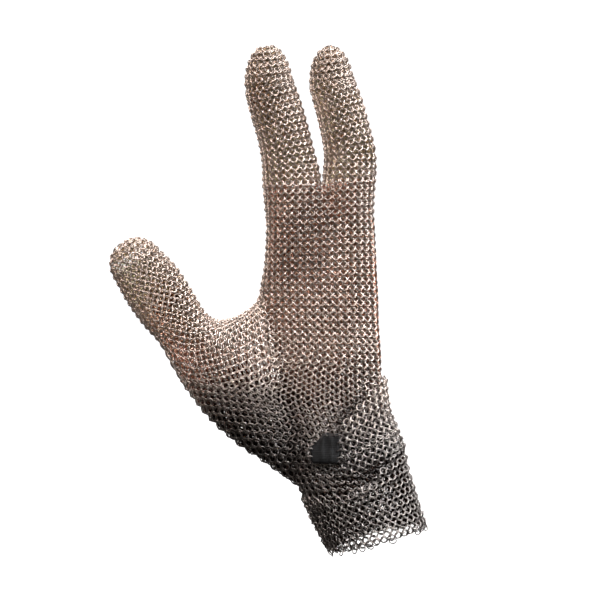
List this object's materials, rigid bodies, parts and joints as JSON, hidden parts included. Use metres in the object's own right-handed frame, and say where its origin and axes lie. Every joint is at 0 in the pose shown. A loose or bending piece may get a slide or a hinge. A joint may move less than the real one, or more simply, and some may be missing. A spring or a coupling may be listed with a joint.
{
  "type": "chainmail glove",
  "caption": "Ring-mesh cut-resistant glove covering the thumb, index and middle fingers, with a wrist band, a side flap and a small closure tab.",
  "frame": {"origin": "centre of the wrist opening, at the hem of the wrist band", "axes": "+Z towards the fingertips, -Y the palm side (the side that carries the closure tab), -X towards the thumb"},
  "size_m": [0.1464, 0.0392, 0.2318],
  "materials": {
    "steel_mesh": "bright stainless ring mesh",
    "black_webbing": "matt black, blank"
  },
  "bodies": {
    "root": {"index_stall": "steel_mesh", "middle_stall": "steel_mesh", "thumb_stall": "steel_mesh", "thumb_gusset": "steel_mesh", "palm_mesh": "steel_mesh", "cuff_band": "steel_mesh", "closure_flap": "steel_mesh", "closure_tab": "black_webbing"}
  },
  "joints": []
}
